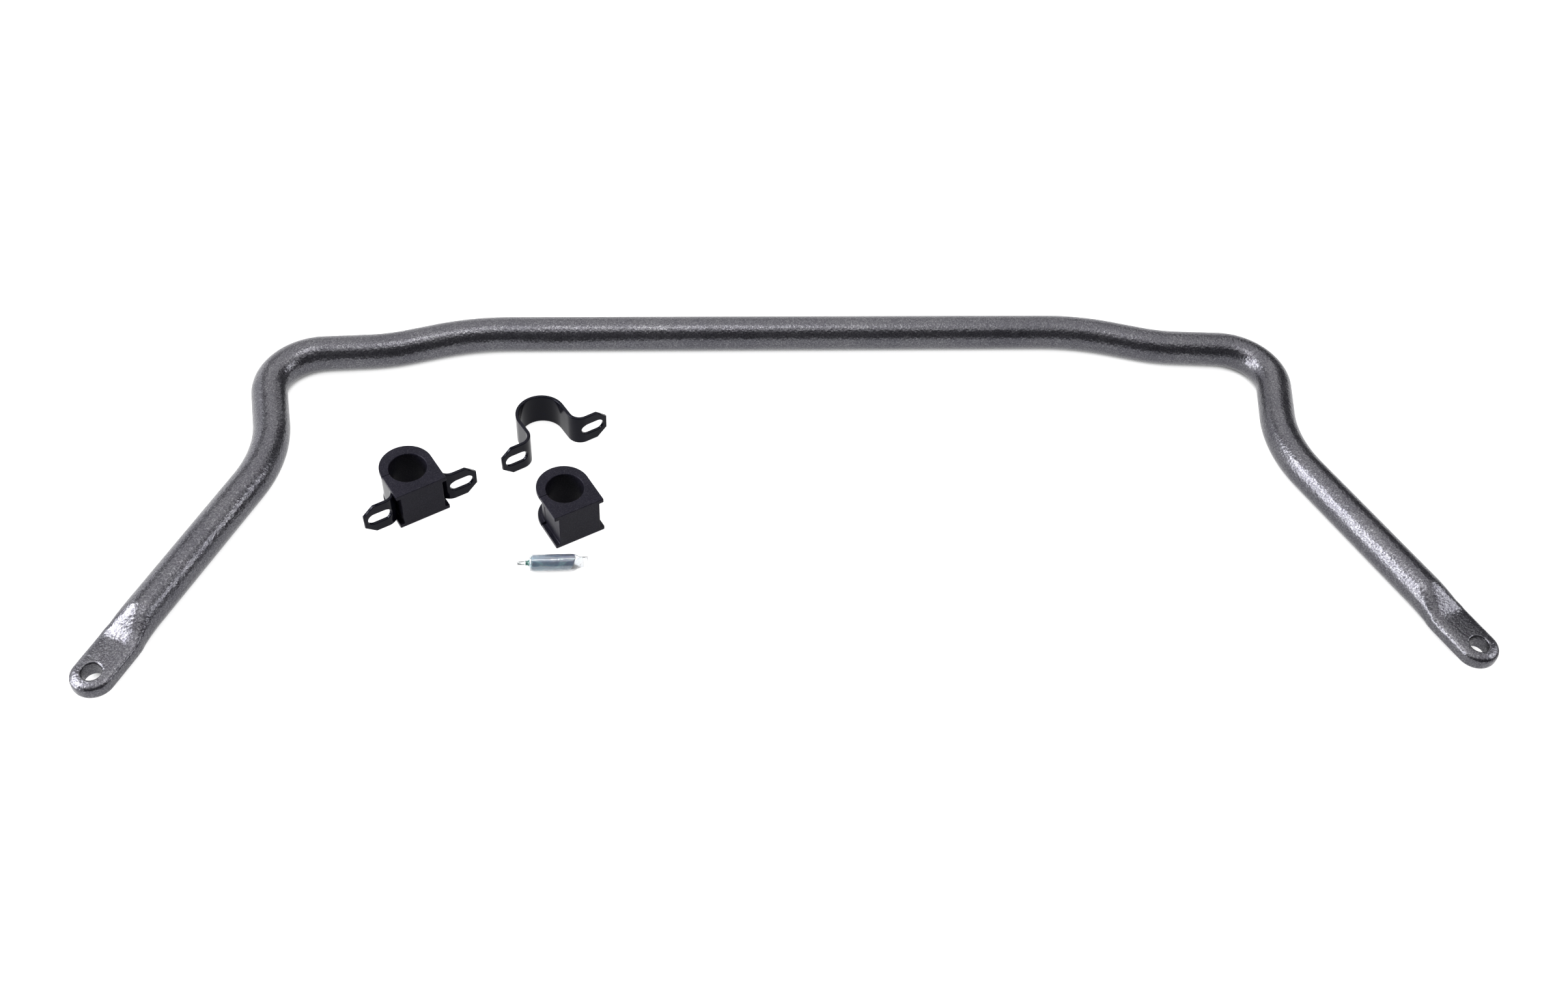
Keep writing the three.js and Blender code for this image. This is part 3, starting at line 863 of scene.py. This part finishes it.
def make_grease():
    """The grease's own body, with its slanted rear end and the thread that fills the neck."""
    radius = TUBE_RADIUS - FILM - GREASE_GAP
    front = FILM + PART_GAP + DISC_THICKNESS + 0.25 * MM
    thread = NECK_BORE - 0.05 * MM
    neck_end = -NECK_LENGTH + 0.1 * MM
    neck = [(neck_end, 0), (neck_end, thread), (front, thread)]
    edge = [(front, radius - 0.9 * MM), (front + 0.4 * MM, radius)]
    body = tail(radius, front + 1 * MM, GREASE_LENGTH)
    closing = [(GREASE_LENGTH + 0.5 * MM, radius * share) for share in (0.93, 0.8, 0.6, 0.35, 0)]
    flatten = pinched(0.3 * MM)

    def shape(point):
        slant = smoothstep(14 * MM, GREASE_LENGTH, point.x)
        slanted = Vector((point.x + GREASE_SLANT * point.z * slant, point.y, point.z))
        slanted.x += 0.5 * MM * noise.noise(point / (5 * MM)) * slant
        pressed = flatten(slanted)
        pressed.y *= GREASE_SHRINK
        pressed.z *= GREASE_SHRINK
        return pressed

    bm = lathe([*neck, *edge, *body, *closing], GREASE_SIDES, shape)
    return add_object("tube_grease_fill", make_mesh("tube_grease_fill", bm))


# ---------------------------------------------------------------- places
def standing(names, inset, node):
    """Where a piece stands: its mounting faces look along local -Y, inset from its origin."""
    found = [mounts[name] for name in names]
    faces = [Vector(mount["pos_m"]) for mount in found]
    outward = Vector(found[0]["axis"])
    middle = sum(faces, Vector()) / len(faces)
    origin = middle - outward * inset
    origin.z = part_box(node)[0].z
    return Matrix.Translation(origin) @ Matrix.Rotation(math.atan2(outward.x, -outward.y), 4, "Z")


def tube_place():
    """The tube lies on the floor along its tip's slide, with its shoulder at the origin."""
    front = Vector(joints["tube_tip_pull"]["axis"])
    low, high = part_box("tube_sleeve")
    centre = (low + high) / 2
    shoulder_at = centre + front * TUBE_LENGTH / 2
    shoulder_at.z = low.z + TUBE_RADIUS
    return Matrix.Translation(shoulder_at) @ Matrix.Rotation(math.atan2(-front.y, -front.x), 4, "Z")


def fit(piece, place, body, node, material):
    """Puts a finished piece in its place, where it stands for a CAD node."""
    piece.matrix_world = place
    piece.data.materials.clear()
    piece.data.materials.append(material)
    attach(piece, body)
    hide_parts(node)


def ear_mounts(side):
    return [f"bracket_{side}_ear_near", f"bracket_{side}_ear_far"]


# ---------------------------------------------------------------- studio
FLOOR_SIZE = 60
FLOOR_GLOW = 0.93
# Painted shade: the floor's glow goes out at the bottom of a well this deep, such as a bushing's
# bore, and dims close to the pieces.
WELL_DEPTH = 0.05
WELL_OPENNESS = (0.1, 0.26)
LIGHTS = [
    # name, from, aimed at, width, height, power, colour
    ("ceiling", (0.0, 1.6, 2.4), (0.0, 1.6, 0.0), 3.4, 5.4, 95, (1.0, 0.99, 0.97)),
    ("back_wall", (-0.6, 3.9, 0.9), (-0.3, 0.0, 0.1), 6.4, 1.7, 48, (1.0, 0.99, 0.99)),
    ("left_wall", (-2.7, 0.8, 1.2), (0.0, 0.8, 1.2), 4.4, 2.4, 42, (0.98, 0.985, 1.0)),
    ("lamp", (-0.12, 0.05, 1.75), (-0.12, 0.05, 0.0), 0.6, 0.2, 5, (1.0, 0.99, 0.96)),
    ("key_left", (-1.8, 0.2, 1.5), (-0.56, -0.19, 0.0), 0.9, 0.9, 54, (1.0, 1.0, 1.0)),
    ("window_left", (-2.2, -0.45, 0.45), (0.5, -0.19, 0.0), 1.4, 0.8, 40, (1.0, 1.0, 1.0)),
    ("fill_right", (2.05, 0.1, 1.3), (0.56, -0.19, 0.0), 0.9, 0.9, 18, (1.0, 1.0, 1.0)),
]
# The room's own light, and the pale backdrop that shows behind the floor in low views.
AMBIENT = (0.09, 0.088, 0.1)
BACKDROP = (0.93, 0.93, 0.935)


def add_floor():
    """White glowing paper, on which the pieces leave a faint shadow, partly cast by the lamps and
    partly painted shade where the glow is dimmed near them.
    """
    bm = bmesh.new()
    bmesh.ops.create_grid(bm, x_segments=1, y_segments=1, size=FLOOR_SIZE / 2)
    floor = add_object("floor", make_mesh("floor", bm))
    paper = Paint("paper", {"Roughness": 0.9})
    cloud = paper.noise(0.5, 1.0)
    white = paper.ramp(cloud, (0.3, (0.24, 0.24, 0.242)), (0.7, (0.26, 0.26, 0.261)))
    glow = paper.ramp(cloud, (0.3, (0.98, 0.98, 0.985)), (0.7, (1.0, 1.0, 1.0)))
    # Painted shade: the glow is turned down where ambient occlusion finds pieces close by.
    glow_with_painted_shade = paper.spread(paper.openness(WELL_DEPTH), *WELL_OPENNESS, 0, FLOOR_GLOW)
    paper.feed("Base Color", white)
    paper.feed("Emission Color", glow)
    paper.feed("Emission Strength", glow_with_painted_shade)
    floor.data.materials.append(paper.material)


def add_lights():
    for name, at, aim, width, height, power, colour in LIGHTS:
        data = bpy.data.lights.new(name, "AREA")
        data.shape = "RECTANGLE"
        data.size = width
        data.size_y = height
        data.energy = power
        data.color = colour
        light = bpy.data.objects.new(name, data)
        bpy.context.scene.collection.objects.link(light)
        light.location = at
        light.visible_camera = False
        light.rotation_euler = (Vector(aim) - Vector(at)).to_track_quat("-Z", "Y").to_euler()


def add_world():
    world = bpy.data.worlds.new("studio")
    world.use_nodes = True
    nodes = world.node_tree.nodes
    shade = nodes.new("ShaderNodeValToRGB")
    shade.color_ramp.elements[0].color = (*AMBIENT, 1)
    shade.color_ramp.elements[1].color = (*BACKDROP, 1)
    seen = nodes.new("ShaderNodeLightPath").outputs["Is Camera Ray"]
    world.node_tree.links.new(seen, shade.inputs["Fac"])
    world.node_tree.links.new(shade.outputs["Color"], nodes["Background"].inputs["Color"])
    bpy.context.scene.world = world
    bpy.context.scene.view_settings.view_transform = "Standard"


add_camera()
add_floor()
add_lights()
add_world()

coat, rubber, gloss, film = powder_coat(), polyurethane(), black_paint(), clear_plastic()
fit(make_bar(), Matrix.Translation(MID_AXIS), "bar", "bar", coat)
for side, bushing_body, bracket_body in (
    ("left", "left_bushing", "left_bracket"),
    ("right", "right_bushing", "right_bracket"),
):
    bushing = make_bushing(f"bushing_{side}_moulding")
    place = standing([f"bushing_{side}_base"], BUSHING_BASE, f"bushing_{side}")
    fit(bushing, place, bushing_body, f"bushing_{side}", rubber)
    bracket = make_bracket(f"bracket_{side}_pressing")
    place = standing(ear_mounts(side), EAR_FACE, f"bracket_{side}")
    fit(bracket, place, bracket_body, f"bracket_{side}", gloss)

tube = tube_place()
fit(make_sleeve(), tube, "tube", "tube_sleeve", film)
fit(make_head(), tube, "tube", "tube_head", stained_plastic())
fit(make_tip(), tube, "tip", "tube_tip", film)
fit(make_grease(), tube, "tube", "tube_grease", grease())
